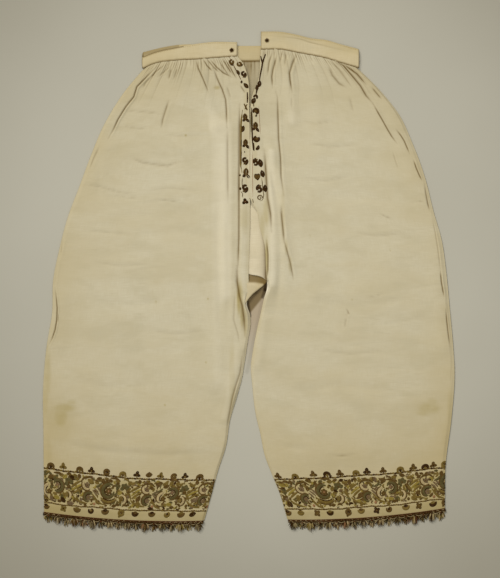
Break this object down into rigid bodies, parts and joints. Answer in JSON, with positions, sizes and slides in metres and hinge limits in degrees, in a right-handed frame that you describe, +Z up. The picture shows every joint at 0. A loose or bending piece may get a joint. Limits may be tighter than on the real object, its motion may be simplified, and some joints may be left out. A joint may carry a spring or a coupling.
{
  "type": "historic linen pantaloons, laid flat",
  "caption": "Wide knee-length linen drawers lying flat, gathered to a narrow waistband with an open front, crotch gusset and braided lace at the hems.",
  "frame": {"origin": "middle of the box of the whole garment, on the surface that it lies on", "axes": "+Z up out of the front of the garment, +Y from the hems to the waist, +X to the viewer's right"},
  "size_m": [0.7616, 0.9214, 0.0113],
  "materials": {
    "linen": "aged plain-weave linen, slightly yellowed, soft matte",
    "band_linen": "doubled plain-weave linen, yellowed, matte",
    "silk_lace": "braided silk edging in browns and greens, low sheen",
    "silk_embroidery": "raised silk embroidery in olive, brown and grey, low sheen"
  },
  "bodies": {
    "root": {"left_leg": "linen", "right_leg": "linen", "waistband": "band_linen", "gusset_front": "linen", "gusset_back": "linen", "left_lace": "silk_lace", "right_lace": "silk_lace"}
  },
  "joints": []
}
